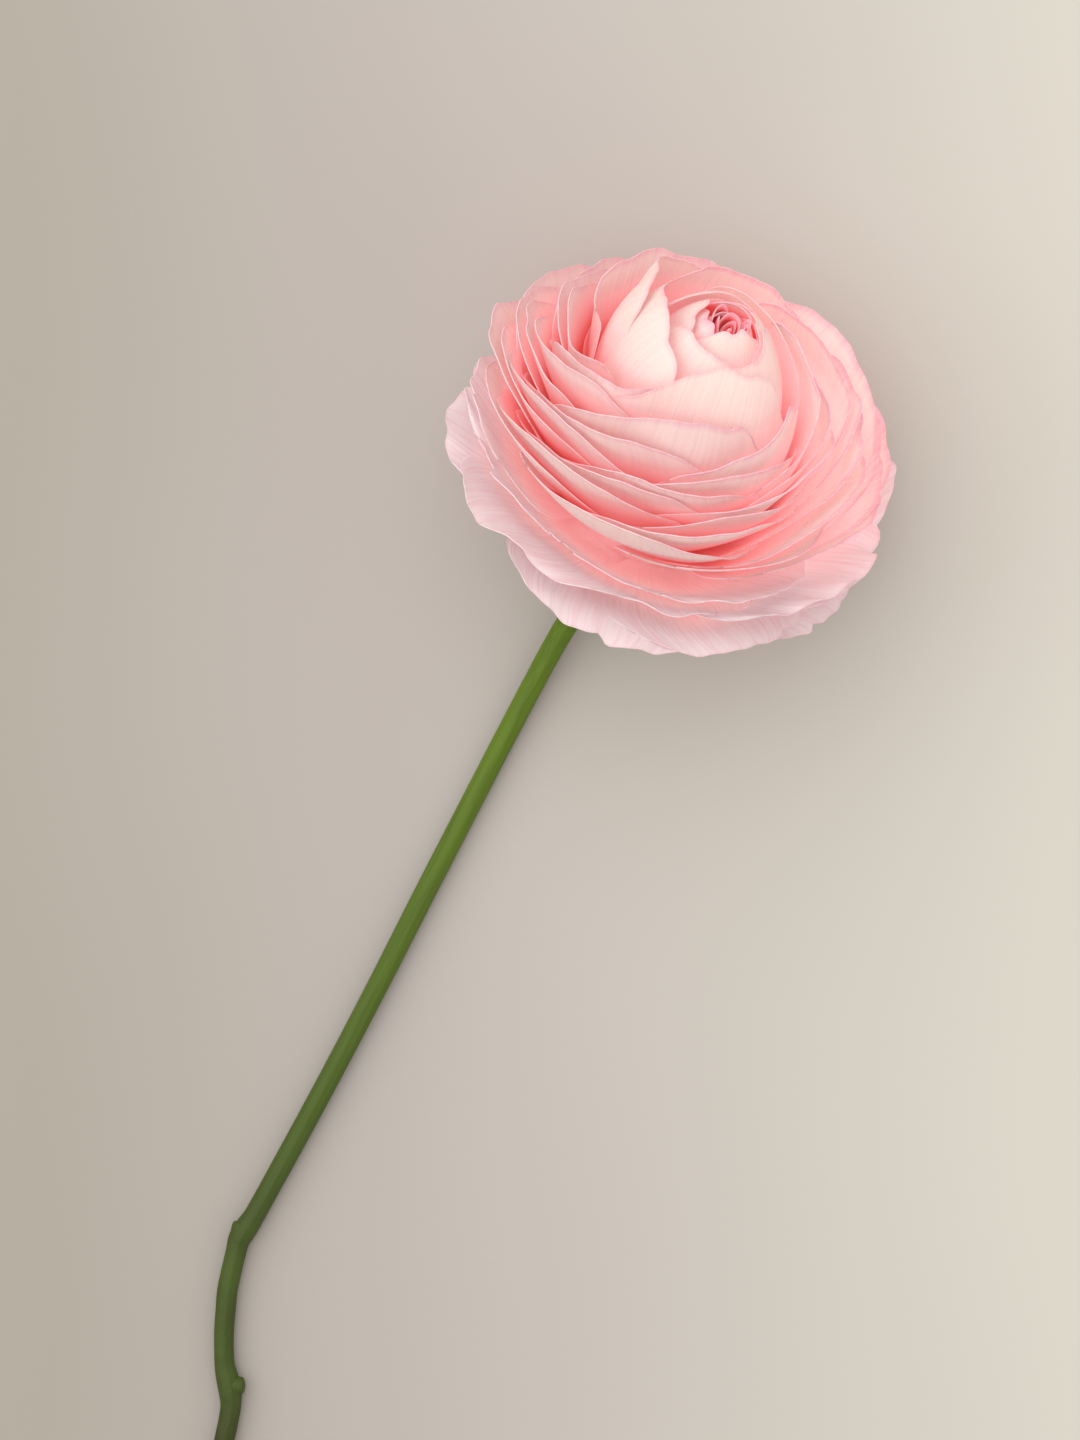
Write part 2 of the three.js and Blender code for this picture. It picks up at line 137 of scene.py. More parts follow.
# Free edges are nibbled, and each outer petal has a tear: depths as shares of the petal's length,
# and the tear's width as a share of half the petal's width.
INNER_NIBBLE = 0.004
OUTER_NIBBLE = 0.008
TEAR_DEPTH = 0.05
TEAR_WIDTH = 0.05

# How much open sky a point of the bloom sees is found with this many rays. Each starts this far
# from the point and has this length.
RAYS = 36
RAY_START = 0.35
RAY_LENGTH = 45
# The plain petals that the rays are cast against have this many points across and along.
SHADING_POINTS = (19, 17)

# The rolled petals inside the eye of the bloom: azimuth and half angle in degrees, radius,
# height of the tip, share by which the tip closes, and x and y of the roll's middle.
HEART_ROLLS = [
    [184, 92, 2.0, 28.2, 0.1, 0.0, -0.3], [172, 76, 1.4, 27.2, 0.2, 0.1, -0.4],
    [96, 52, 2.4, 28.2, 0.05, 0.3, -0.3], [116, 44, 3.0, 28.7, 0.02, 0.3, -0.3],
    [-66, 50, 2.3, 27.9, 0.1, -0.6, -0.3], [-110, 60, 3.2, 28.7, 0.1, -0.6, 0.3],
    [10, 165, 1.5, 27.6, 0.97, 0.2, -1.7],
]
# Height of the rolls' feet.
HEART_FOOT = 8

# The solid receptacle under the petals, as distance from the axis and height along it.
RECEPTACLE = [
    [0.01, -24.6], [6.0, -24.4], [11.0, -23.0], [14.5, -20.0], [16.5, -15.0], [16.5, -10.0],
    [15.5, -5.0], [14.0, 0.0], [11.0, 5.0], [8.0, 9.0], [4.5, 12.0], [0.01, 13.0],
]

# Centre line of the stalk from its cut end to its head: x, y, z and radius.
STALK_LINE = [
    [17.6, -230, 2.05, 1.98], [14.4, -215, 2, 1.95], [10.4, -203.1, 1.98, 1.9],
    [9.5, -199.9, 1.98, 1.92], [8.5, -197.1, 2, 1.98], [7.5, -195.4, 1.98, 2.15],
    [6.5, -194.1, 1.95, 2.2], [5.3, -192.7, 1.98, 2.1], [4.1, -191.2, 2, 1.92],
    [2.7, -188.8, 1.97, 1.87], [1, -185.5, 1.97, 1.88], [-0.5, -182, 2, 1.92],
    [-1.9, -178.6, 2.02, 1.95], [-2.7, -175.8, 2.03, 1.96], [-3.4, -173.1, 2.03, 1.96],
    [-3.9, -171.1, 2.03, 1.98], [-4.3, -169.4, 2.03, 2.1], [-4.3, -167.9, 2.03, 2.25],
    [-4.1, -166.3, 2.05, 2.2], [-3.9, -164.4, 2.1, 2.05], [-3.8, -161.5, 2.1, 2],
    [-3.6, -153, 2.1, 2], [-3.35, -139, 2.1, 2], [-3.25, -118, 2.12, 2.02],
    [-3.5, -97, 2.15, 2.05], [-3.65, -76, 2.15, 2.05], [-3.7, -60, 2.3, 2.05],
    [-3.65, -52, 2.8, 2.08], [-3.55, -45.5, 3.6, 2.12], [-3.2, -39, 5.1, 2.2],
    [-2.4, -34, 7.1, 2.3], [-1.3, -29.8, 9.4, 2.35],
]
FURROWS = 9
# Where the stalk runs up into its head along the bloom's axis, and its radius there.
NECK_HEIGHTS = np.array([-31.9, -30.0])
NECK_RADIUS = 2.42
# The head flares under the bloom: distance from the axis and height along it.
STALK_HEAD = [
    [0.01, -31.8], [2.42, -31.6], [2.5, -31.0], [2.75, -30.2], [3.2, -29.4], [3.9, -28.7],
    [4.25, -28.3], [4.3, -27.95], [0.01, -27.9],
]
# What is left of two leaf stalks: foot, direction, length and radius.
SCAR_STUBS = [
    ([-4.3, -169.3, 2.2], [-0.33, 0.94, 0.06], 3.6, 1.75),
    ([6.5, -194.3, 2.2], [0.87, 0.47, 0.1], 3.2, 1.7),
]
# How far along a stub, and its girth there, as shares of its length and radius.
STUB_GIRTH = np.array([[0, 1.15], [0.3, 1.0], [0.6, 1.0], [0.8, 0.92], [0.93, 0.75], [1.0, 0.3]])
# The knife ran across the stalk at a slant: a point on the cut face and the way it faces.
CUT_AT = np.array([17.6, -227, 2.2]) - REST_SPOT
CUT_SLANT = math.radians(38)
CUT_NORMAL = np.array([math.sin(CUT_SLANT), -math.cos(CUT_SLANT), 0])

SEPALS = 5
FIRST_SEPAL = math.radians(20)
SEPAL_ROOT = 3.5
SEPAL_LENGTH = 13
SEPAL_HALF_WIDTH = 4.2
SEPAL_DROOP = 3.4
SEPAL_THICKNESS = 0.7
CALYX_MIDDLE = -26.5
# The ring that carries the sepals, as distance from the axis and height along it.
CALYX_RING = [
    [0.01, -27.5], [4.2, -27.5], [5.0, -27.1], [5.2, -26.5], [5.0, -25.8], [4.4, -25.5],
    [0.01, -25.5],
]

# A petal counts as fully open where it sees this share of the sky. The light that has come
# through other petals changes colour at these shares.
WIDE_OPEN = 0.6
THROUGH_AT = (0.0, 0.2, 0.45)

# Points closer than this are one where a skin closes on itself.
WELD = 0.02

# The camera looks straight down. Its picture is 1080 by 1440 pixels, turned on the table, with
# the centre of the bloom's widest ring at RING_PIXEL.
PICTURE = (1080, 1440)
PIXELS_PER_MM = 5.53
CAMERA_HEIGHT = 1040
CAMERA_TURN = math.radians(27.57)
RING_PIXEL = (684, 437)
FILM_WIDTH = 36

# In metres: the table top's width, where the lamp hangs (across and up the picture, and above the
# table), its width, and the height that it is aimed at.
TABLE_WIDTH = 4
LAMP_AT = (-0.5, 0.35, 1.0)
LAMP_WIDTH = 1.8
LAMP_AIM = 0.03


def linear(code):
    """Linear red, green and blue from an sRGB hex code."""
    parts = [int(code[i:i + 2], 16) / 255 for i in (0, 2, 4)]
    return [p / 12.92 if p <= 0.04045 else ((p + 0.055) / 1.055) ** 2.4 for p in parts]


def colour(name, code, description):
    """A colour setting with its default."""
    return bpy.props.FloatVectorProperty(
        name=name, description=description, subtype="COLOR", size=3, min=0, max=1,
        default=linear(code))


def length(name, millimetres, description):
    """A length setting with its default."""
    return bpy.props.FloatProperty(
        name=name, description=description, unit="LENGTH", min=0, default=millimetres * MM)


def share(name, value, description):
    """A setting between 0 and 1."""
    return bpy.props.FloatProperty(
        name=name, description=description, subtype="FACTOR", min=0, max=1, default=value)


class BloomSettings(bpy.types.PropertyGroup):
    """Sizes and colours of the petals."""

    axis_elevation: bpy.props.FloatProperty(
        name="Axis elevation", description="How far the bloom's axis leans up from the table",
        subtype="ANGLE", default=math.radians(40))
    ring_height: length("Ring height", 33.5, "Centre of the widest ring above the table")
    thickness: length("Petal thickness", 0.2, "How thick a petal is")
    # The petal ramps place these colours by how much sky a point sees: eye red, coral, flush and
    # blush are painted shade where petals shut each other in, rim, cream and lilac where they are
    # open.
    rim: colour("Rim", "f7e6e3", "Free edges of the packed petals")
    blush: colour("Blush", "f5d6d5", "Just under the edge of a packed petal")
    flush: colour("Flush", "eab7b7", "Deep on a packed petal")
    salmon: colour("Salmon", "f2babb", "Light that has come through one petal")
    coral: colour("Coral", "de625e", "Light that has come through many petals")
    eye: colour("Eye red", "a81f22", "Deep inside the eye")
    cream: colour("Cream", "f7e8e2", "Bud petals where the light falls")
    magenta: colour("Magenta", "f0a6c0", "Margins of the heart's small petals")
    lilac: colour("Lilac", "f4e8ea", "Outer petals")
    vein: colour("Vein", "ecc3cd", "Veins and margins of the outer petals")
    glow: share("Glow", 0.34, "Light that comes through the petals deep in the bloom")
    see_through: share("See-through", 0.35, "Share of light that passes through a petal")


class StalkSettings(bpy.types.PropertyGroup):
    """Sizes and colours of the stalk and calyx."""

    fresh: colour("Fresh green", "58720f", "Stalk below the bloom")
    old: colour("Old green", "3d4f14", "Stalk near its cut end")
    scar: colour("Scar brown", "2c2a0c", "Leaf scars and the oldest skin")
    pith: colour("Pith", "c9d19a", "Cut face")
    sepal: colour("Sepal", "93a95a", "Sepals and calyx")
    groove: length("Groove depth", 0.07, "Depth of the furrows along the stalk")


class StageSettings(bpy.types.PropertyGroup):
    """Floor and light."""

    # The floor colours run from darker at the picture's left edge to lighter on its right:
    # painted shade and light across the table.
    floor_shaded_edge: colour("Floor edge", "9d978e", "Table top at the left edge of the picture")
    floor_cool: colour("Cool floor", "aaa49f", "Table top left of the picture's middle")
    floor_warm: colour("Warm floor", "c3c0b7", "Table top on the right of the picture")
    sky: colour("Sky", "fffaf5", "Light from all round")
    sky_strength: bpy.props.FloatProperty(
        name="Sky strength", description="Brightness of the light from all round", default=0.92)
    key_power: bpy.props.FloatProperty(
        name="Key power", description="Power of the soft lamp in watts", default=13)


def draw(n, k):
    """A fixed draw between 0 and 1 for petal n and feature k, as in the solids."""
    s = math.sin(n * 12.9898 + k * 78.233) * 43758.5453
    return s - math.floor(s)


def draw_between(low, high, n, k):
    """A fixed draw between two values."""
    return low + (high - low) * draw(n, k)


def eased(x):
    """A soft step from 0 to 1."""
    x = np.clip(x, 0, 1)
    return x * x * (3 - 2 * x)


def side_view(layer, t):
    """Distance from the axis and height at a share t of the way along a petal of a layer."""
    s = 1 - t
    weights = [s ** 3, 3 * s * s * t, 3 * s * t * t, t ** 3]
    out = []
    for axis in (0, 1):
        points = [np.interp(layer, PETAL_LAYERS, PETAL_CURVES[:, i, axis]) for i in range(4)]
        out.append(sum(w * p for w, p in zip(weights, points)))
    return out


def turned(angle):
    """An angle brought between minus and plus half a turn."""
    return (angle + math.pi) % (2 * math.pi) - math.pi


def facing(azimuth, at, narrow, power):
    """1 at one azimuth, falling softly to 0 on both sides of it."""
    return np.cos(np.clip(narrow * turned(azimuth - at), -math.pi / 2, math.pi / 2)) ** power


def parted(layer, azimuth):
    """Where petals lean on each other: bunched and parted round the bloom, with one wide gap
    on the bud's left and a snug side across from it."""
    wave = (0.014 * np.sin(8 * math.pi * layer + azimuth + 0.6)
            + 0.008 * np.sin(14 * math.pi * layer - 2 * azimuth + 2))
    wave = wave * np.clip(layer / 0.15, 0, 1) * np.clip((1 - layer) / 0.1, 0, 1)
    wide = GAP_WIDTH * facing(azimuth, GAP_AT, 0.8, 2)
    past = layer - GAP_LAYER
    snug = SNUG * facing(azimuth, SNUG_AT, 0.9, 2)
    return (layer + wave + wide * eased(past / 0.04) * np.clip(1 - past / 0.44, 0, 1)
            - snug * eased((layer - 0.1) / 0.2) * (1 - eased((layer - 0.42) / 0.3)))


def squeezed(layer, lowest, highest):
    """Keeps a layer between two, softly at the upper end."""
    soft = min(0.1, 0.4 * (highest - lowest))
    over = np.maximum(layer - (highest - soft), 0)
    return np.clip(np.where(over > 0, highest - soft * np.exp(-over / soft), layer),
                   lowest, highest)


def to_table(x, y, along):
    """From the bloom's own frame to the table's, in millimetres, pressed flat where it rests."""
    look = bpy.context.scene.ranunculus_bloom
    cos, sin = math.cos(look.axis_elevation), math.sin(look.axis_elevation)
    z = look.ring_height / MM - y * cos + along * sin
    z = PRESSED_HEIGHT + PRESSING_REACH * np.logaddexp(0, (z - PRESSED_HEIGHT) / PRESSING_REACH)
    return np.stack([x, y * sin + along * cos, z], -1) - REST_SPOT


def petal_azimuth(n):
    """Where petal n stands round the bloom."""
    azimuth = SPIRAL_START + n * SPIRAL_STEP + (0 if n < FIRST_OUTER_PETAL else OUTER_TURN)
    if n >= FIRST_LONG_PETAL:
        azimuth += math.radians(LONG_PETAL_TURNS[n - FIRST_LONG_PETAL])
    return azimuth


def ruffling(n):
    """Where the ruffles of petal n start, and how many it has."""
    return draw_between(0, 6.28, n, 3), 2 + math.floor(3 * draw(n, 4))


def along_petal(n, layer, u, v):
    """How far along its side view each point of petal n lies: with rounded corners, longer or
    shorter than its neighbours, askew, wavy and nibbled, and torn if it is an outer one."""
    inner = n < FIRST_OUTER_PETAL
    grown = min(1, layer / 0.35)
    rounding = 0.06 + 0.2 * grown
    if inner:
        stretch = draw_between(-0.09, 0.03, n, 7) * grown
    else:
        near = (n < FIRST_LONG_PETAL) * max(0, math.cos(petal_azimuth(n) + 0.3))
        stretch = -NEAR_SHORTENING * near + draw_between(-0.03, 0.03, n, 7)
    skew = draw_between(-0.12, 0.12, n, 6)
    phase, ruffles = ruffling(n)
    nibble = (INNER_NIBBLE if inner else OUTER_NIBBLE) * (
        np.sin(17 * u + 3 * phase) + 0.75 * np.sin(31 * u - phase))
    torn_at = draw_between(-0.5, 0.5, n, 13)
    tear = (0 if inner else TEAR_DEPTH) * np.exp(-((u - torn_at) / TEAR_WIDTH) ** 2)
    return (v * (1 - rounding * np.abs(u) ** 2.3 * v * v) + stretch * v * v
            + 0.15 * skew * u * v * v + 0.012 * np.sin(ruffles * u * math.pi + phase) * v ** 3
            + nibble * eased(layer * 2) * v ** 6 - tear * v ** 8)


def petal_surface(n, u, v):
    """Points of petal n, and how far to the side of its middle each one lies.

    u runs from -1 to 1 across the petal, v from 0 at its root to 1 at its tip.
    """
    layer = float(np.interp(n, LAYER_OF_PETAL[:, 0], LAYER_OF_PETAL[:, 1]))
    inner = n < FIRST_OUTER_PETAL
    lowest, highest = (0, LAST_INNER_LAYER) if inner else (FIRST_OUTER_LAYER, 1)
    azimuth = petal_azimuth(n)
    half_width = float(np.interp(layer, HALF_WIDTHS[:, 0], HALF_WIDTHS[:, 1]))
    width = half_width * draw_between(0.92, 1.08, n, 1)
    ruffle = draw_between(0.001, 0.003, n, 2) * (1 if inner else OUTER_RUFFLE)
    phase, ruffles = ruffling(n)
    tip_shift = draw_between(-0.003, 0.003, n, 5)
    flare = draw_between(0.004, 0.012, n, 8)
    twist = draw_between(0, 0.006, n, 9)
    t = along_petal(n, layer, u, v)
    swell = np.sin(np.minimum(v * 1.15, 1) * math.pi / 2) ** 1.1
    reach = width * (0.18 + 0.95 * swell) * (1 - 0.18 * v ** 4)
    middle = (layer + tip_shift * v * v
              + ruffle * np.sin(ruffles * u * math.pi * 1.3 + phase) * v ** 3)
    curve = np.maximum(side_view(np.clip(middle, 0, 1), t)[0], TIGHTEST_CURVE * half_width)
    phi = azimuth + u * reach / curve
    opening = np.clip(v * 1.3 - 0.3, 0, 1) * min(1, layer / 0.2)
    lean = PINWHEEL * eased((layer - 0.3) / 0.12) if inner else OUTER_PINWHEEL
    lifted = (middle + (flare * u * u + twist * u) * opening
              + lean * (phi - azimuth) * eased(t / 0.6))
    r, h = side_view(squeezed(parted(lifted, phi), lowest, highest), t)
    for at, more in TIP_REACHES:
        r = r * (1 + more * facing(phi, math.radians(at), 1, 8) * eased((r - 16) / 16))
    rise = eased((h + 10) / 37)
    near = max(0, 1 - layer / 0.3) * rise
    tilt = HEART_TILT * r * np.cos(phi) * near
    return to_table(r * np.sin(phi) - HEART_SHIFT * rise, -r * np.cos(phi) - HEART_NEAR * near,
                    h - tilt), u * reach


@functools.lru_cache(maxsize=1)
def bloom_tree():
    """All the petals as one plain surface, in millimetres, to find what shades what."""
    across, along = SHADING_POINTS
    u, v = np.meshgrid(np.linspace(-1, 1, across), np.linspace(0.1, 1, along))
    corners = [across * j + i for j in range(along - 1) for i in range(across - 1)]
    points, faces = [], []
    for n in range(FIRST_MOUTH_PETAL, PETALS):
        first = len(points)
        points += petal_surface(n, u, v)[0].reshape(-1, 3).tolist()
        faces += [
            (a, a + 1, a + across + 1, a + across) for a in (first + c for c in corners)]
    return BVHTree.FromPolygons(points, faces)


@functools.lru_cache(maxsize=1)
def directions():
    """Directions from which light comes: most from above, a few from just under level."""
    k = np.arange(RAYS) + 0.5
    z = 1 - 1.25 * (k / RAYS) ** 1.4
    turn = k * math.pi * (1 + math.sqrt(5))
    ring = np.sqrt(1 - z * z)
    return [Vector(ray) for ray in np.stack([ring * np.cos(turn), ring * np.sin(turn), z], -1)]


def openness(points):
    """The share of directions in which a point of the bloom sees out past the other petals."""
    tree, rays = bloom_tree(), directions()
    seen = [
        sum(tree.ray_cast(Vector(p) + RAY_START * ray, ray, RAY_LENGTH)[0] is None
            for ray in rays)
        for p in points.reshape(-1, 3)]
    return np.array(seen).reshape(points.shape[:-1]) / len(rays)


def petal_openness(n, u, v):
    """Openness of petal n at the fine grid u, v, read from a looser grid and evened out."""
    across = np.linspace(-1, 1, 13)
    along = 1 - (1 - np.linspace(0, 1, 15)) ** 1.5 * 0.92
    loose = openness(petal_surface(n, *np.meshgrid(across, along))[0])
    # Each turn evens out the rows and swaps rows with columns.
    for _ in range(2):
        padded = np.pad(loose, [(1, 1), (0, 0)], mode="edge")
        loose = (0.25 * padded[2:] + 0.5 * padded[1:-1] + 0.25 * padded[:-2]).T
    rows = np.stack([np.interp(v[:, 0], along, column) for column in loose.T], 1)
    return np.stack([np.interp(u[0], across, row) for row in rows])


def select_only(*objects):
    """Selects these objects and nothing else. The first is active."""
    bpy.ops.object.select_all(action="DESELECT")
    for item in objects:
        item.select_set(True)
    bpy.context.view_layer.objects.active = objects[0]


def grid(name, across, along):
    """A flat grid with a UV map, its vertices in order of row, and each one's place on it: from
    -1 to 1 across and from 0 to 1 along."""
    bpy.ops.object.select_all(action="DESELECT")
    bpy.ops.mesh.primitive_grid_add(
        x_subdivisions=across, y_subdivisions=along, size=2, calc_uvs=True)
    made = bpy.context.active_object
    made.name = made.data.name = name
    places = np.empty(len(made.data.vertices) * 3)
    made.data.vertices.foreach_get("co", places)
    places = places.reshape(-1, 3).round(5)
    order = np.lexsort((places[:, 0], places[:, 1]))
    shape = (along + 1, across + 1)
    u, v = (places[order, axis].reshape(shape) for axis in (0, 1))
    return made, order.reshape(shape), u, (v + 1) / 2


def place(made, order, points):
    """Moves a grid's vertices to points in millimetres."""
    flat = np.empty((order.size, 3))
    flat[order.ravel()] = points.reshape(-1, 3) * MM
    made.data.vertices.foreach_set("co", flat.ravel())
    made.data.update()


def paint(made, order, **layers):
    """Keeps a number for each vertex under each name, for the material to read."""
    for name, values in layers.items():
        flat = np.empty(order.size, np.float32)
        flat[order.ravel()] = np.broadcast_to(values, order.shape).ravel()
        made.data.attributes.new(name, "FLOAT", "POINT").data.foreach_set("value", flat)


def joined(name, objects):
    """One object from several."""
    select_only(*objects)
    if len(objects) > 1:
        bpy.ops.object.join()
    made = bpy.context.active_object
    made.name = made.data.name = name
    return made


def applied(made, kind, **settings):
    """Adds a modifier and applies it."""
    select_only(made)
    modifier = made.modifiers.new(kind.title(), kind)
    for name, value in settings.items():
        setattr(modifier, name, value)
    bpy.ops.object.modifier_apply(modifier=modifier.name)


def smoothed(made, degrees):
    """Smooth shading that leaves edges sharper than this angle crisp."""
    select_only(made)
    bpy.ops.object.shade_smooth_by_angle(angle=math.radians(degrees))


def edge_distance(points, sideways):
    """How far each point of a petal lies from its free edge, in millimetres."""
    steps = np.linalg.norm(np.diff(points, axis=0), axis=2)
    rim = np.zeros(points.shape[:2])
    rim[:-1] = np.cumsum(steps[::-1], axis=0)[::-1]
    return np.minimum(rim, np.abs(sideways[:, -1:]) - np.abs(sideways))


def rolls():
    """The small rolled petals inside the eye."""
    made_rolls = []
    for k, (turn, spread, radius, top, close, x, y) in enumerate(HEART_ROLLS):
        made, order, u, v = grid(f"roll_{k}", 36, 24)
        wave = 0.008 * np.sin(5 * u + 2 * k) * v ** 3
        t = v * (1 - 0.12 * np.abs(u) ** 2.5 * v) + wave
        phi = math.radians(turn) + math.radians(spread) * u
        r = radius * (0.7 + 0.3 * np.sin(np.minimum(1.5 * t, 1) * math.pi / 2)) * (
            1 - close * t ** 5) * (1 + 0.12 * u)
        points = to_table(r * np.sin(phi) + x - HEART_SHIFT, y - r * np.cos(phi),
                          HEART_FOOT + (top - HEART_FOOT) * t)
        place(made, order, points)
        edge = edge_distance(points, math.radians(spread) * r * u)
        # Painted shade: open falls away from each roll's edges, so the rolls turn eye red deep in
        # the eye.
        paint(made, order, edge=edge, tone=draw(k, 12), open=0.5 * np.exp(-edge / 0.7))
        made_rolls.append(made)
    return made_rolls


def whorl(name, first, last, across, along, extra=()):
    """The petals from first up to last, shaped one by one and joined with any extra ones."""
    petals = []
    for n in range(first, last):
        made, order, u, y = grid(f"{name}_{n}", across, along)
        v = PETAL_ROOT + (1 - PETAL_ROOT) * y
        points, sideways = petal_surface(n, u, v)
        place(made, order, points)
        # open is the share of sky each point sees, from which the materials paint shade and glow.
        paint(made, order, edge=edge_distance(points, sideways), tone=draw(n, 11),
              open=petal_openness(n, u, v))
        petals.append(made)
    made = joined(name, petals + list(extra))
    settings = bpy.context.scene.ranunculus_bloom
    applied(made, "SOLIDIFY", thickness=settings.thickness, offset=0)
    on_table(made)
    smoothed(made, 60)
    return made


def on_table(made):
    """Nothing sinks below the table."""
    places = np.empty(len(made.data.vertices) * 3)
    made.data.vertices.foreach_get("co", places)
    places[2::3] = np.maximum(places[2::3], 0)
    made.data.vertices.foreach_set("co", places)
    made.data.update()


def rounded(name, outline, sides, steps):
    """A body of revolution about the bloom's axis from an outline of radius and height."""
    made, order, u, v = grid(name, sides, steps)
    outline = np.array(outline)
    run = np.linspace(0, 1, len(outline))
    r, h = (np.interp(v, run, outline[:, i]) for i in (0, 1))
    angle = u * math.pi
    place(made, order, to_table(r * np.sin(angle), -r * np.cos(angle), h))
    closed(made)
    return made


def closed(made):
    """Welds the seam of a rolled grid, caps its ends and turns its faces outwards."""
    select_only(made)
    bpy.ops.object.mode_set(mode="EDIT")
    bpy.ops.mesh.select_all(action="SELECT")
    bpy.ops.mesh.remove_doubles(threshold=WELD * MM)
    bpy.ops.mesh.select_all(action="DESELECT")
    bpy.ops.mesh.select_mode(type="EDGE")
    bpy.ops.mesh.select_non_manifold()
    bpy.ops.mesh.fill_holes(sides=0)
    bpy.ops.mesh.select_all(action="SELECT")
    bpy.ops.mesh.normals_make_consistent(inside=False)
    bpy.ops.mesh.select_mode(type="VERT")
    bpy.ops.object.mode_set(mode="OBJECT")


def flowing(stations, count):
    """A smooth line through stations, at count even steps along it."""
    stations = np.array(stations, float)
    gaps = np.linalg.norm(np.diff(stations[:, :3], axis=0), axis=1)
    knots = np.concatenate([[0], np.cumsum(gaps)])
    slopes = np.gradient(stations, knots, axis=0)
    at = np.linspace(0, knots[-1], count)
    i = np.clip(np.searchsorted(knots, at) - 1, 0, len(knots) - 2)
    gap = (knots[i + 1] - knots[i])[:, None]
    t = (at - knots[i])[:, None] / gap
    return ((2 * t ** 3 - 3 * t ** 2 + 1) * stations[i]
            + (t ** 3 - 2 * t ** 2 + t) * gap * slopes[i]
            + (3 * t ** 2 - 2 * t ** 3) * stations[i + 1]
            + (t ** 3 - t ** 2) * gap * slopes[i + 1])


def tube(name, line, sides, furrow=None):
    """A grid and its points for a round bar along a line of x, y, z and radius. furrow, if
    given, shapes its skin."""
    made, order, u, v = grid(name, sides, len(line) - 1)
    centres, radii = line[:, :3], line[:, 3]
    ahead = np.gradient(centres, axis=0)
    ahead /= np.linalg.norm(ahead, axis=1, keepdims=True)
    side = np.cross(ahead, [0, 0, 1])
    side /= np.linalg.norm(side, axis=1, keepdims=True)
    top = np.cross(side, ahead)
    angle = u * math.pi
    radius = radii[:, None] + (furrow(angle, v) if furrow else 0)
    points = (centres[:, None] + (radius * np.cos(angle))[..., None] * side[:, None]
              + (radius * np.sin(angle))[..., None] * top[:, None])
    return made, order, points


def stalk_bar():
    """The furrowed length of the stalk, ended by the slanted cut."""
    groove = bpy.context.scene.ranunculus_stalk.groove / MM
    neck = to_table(np.zeros(2), np.zeros(2), NECK_HEIGHTS) + REST_SPOT
    line = flowing(STALK_LINE + [[*p, NECK_RADIUS] for p in neck], 360)
    line[:, :3] -= REST_SPOT

    def furrow(angle, v):
        """How far the skin lies in, with ridges that wander a little along the stalk."""
        ridges = np.cos(FURROWS * angle + 3 * np.sin(6 * v))
        return -groove * (0.5 + 0.5 * ridges) * eased(v * 8)

    made, order, points = tube("stalk", line, 54, furrow)
    # What lies beyond the cut slides back to it along the stalk.
    beyond = (points - CUT_AT) @ CUT_NORMAL
    ahead = line[3, :3] - line[0, :3]
    ahead /= np.linalg.norm(ahead)
    slide = beyond / (ahead @ CUT_NORMAL)
    points = np.where(beyond[..., None] > 0, points - slide[..., None] * ahead, points)
    place(made, order, points)
    closed(made)
    return made


def stub(foot, towards, long, radius):
    """What is left of a leaf stalk where it grew from the stalk."""
    along, girth = STUB_GIRTH.T
    foot = np.array(foot) - REST_SPOT
    line = np.column_stack([
        foot + along[:, None] * long * np.array(towards), radius * girth])
    made, order, points = tube("scar", flowing(line, 26), 28)
    place(made, order, points)
    closed(made)
    return made


def sepal(k):
    """Sepal k of the calyx, as a face without thickness."""
    made, order, u, v = grid(f"sepal_{k}", 16, 20)
    r = SEPAL_ROOT + SEPAL_LENGTH * v
    h = CALYX_MIDDLE - SEPAL_DROOP * v * v - 0.5 * u * u + 0.25 * np.sin(5 * u + k) * v
    reach = SEPAL_HALF_WIDTH * (0.62 + 1.1 * v) * np.sqrt(1 - 0.97 * v * v)
    phi = (FIRST_SEPAL + 2 * math.pi * k / SEPALS
           + u * reach / np.maximum(r, SEPAL_HALF_WIDTH))
    place(made, order, to_table(r * np.sin(phi), -r * np.cos(phi), h))
    return made


def add(tree, kind, inputs=None, **settings):
    """Adds a node, sets it up, and sets or links its inputs."""
    made = tree.nodes.new("ShaderNode" + kind)
    for name, value in settings.items():
        setattr(made, name, value)
    for name, value in (inputs or {}).items():
        if isinstance(value, bpy.types.NodeSocket):
            tree.links.new(value, made.inputs[name])
        else:
            made.inputs[name].default_value = value
    return made


def rgba(value):
    """A colour with full alpha."""
    return (*value, 1)


def ramp(tree, factor, stops):
    """A colour ramp through stops of position and linear colour. Returns its colour."""
    made = add(tree, "ValToRGB", {"Fac": factor})
    elements = made.color_ramp.elements
    while len(elements) > 1:
        elements.remove(elements[-1])
    elements[0].position = stops[0][0]
    elements[0].color = rgba(stops[0][1])
    for position, value in stops[1:]:
        elements.new(position).color = rgba(value)
    return made.outputs["Color"]


def blended(tree, factor, low, high):
    """A colour between two, by factor. Returns it."""
    low, high = (x if isinstance(x, bpy.types.NodeSocket) else rgba(x) for x in (low, high))
    return add(tree, "Mix", {0: factor, 6: low, 7: high}, data_type="RGBA").outputs[2]


def fitted(tree, value, low, high, to_low=0.0, to_high=1.0):
    """A value read from one range into another. Returns it."""
    made = add(tree, "MapRange", {
        "Value": value, "From Min": low, "From Max": high, "To Min": to_low, "To Max": to_high})
    return made.outputs["Result"]


def combined(tree, operation, first, second):
    """One value from two, by ADD, MULTIPLY or MINIMUM. Returns it."""
    return add(tree, "Math", {0: first, 1: second}, operation=operation).outputs[0]


def object_place(tree):
    """Each point's place on the object. Returns it."""
    return add(tree, "TexCoord").outputs["Object"]


def noise(tree, vector, scale, detail=2.0, roughness=0.5):
    """Soft blotches between 0 and 1. Returns them."""
    return add(tree, "TexNoise", {
        "Vector": vector, "Scale": scale, "Detail": detail,
        "Roughness": roughness}).outputs["Fac"]


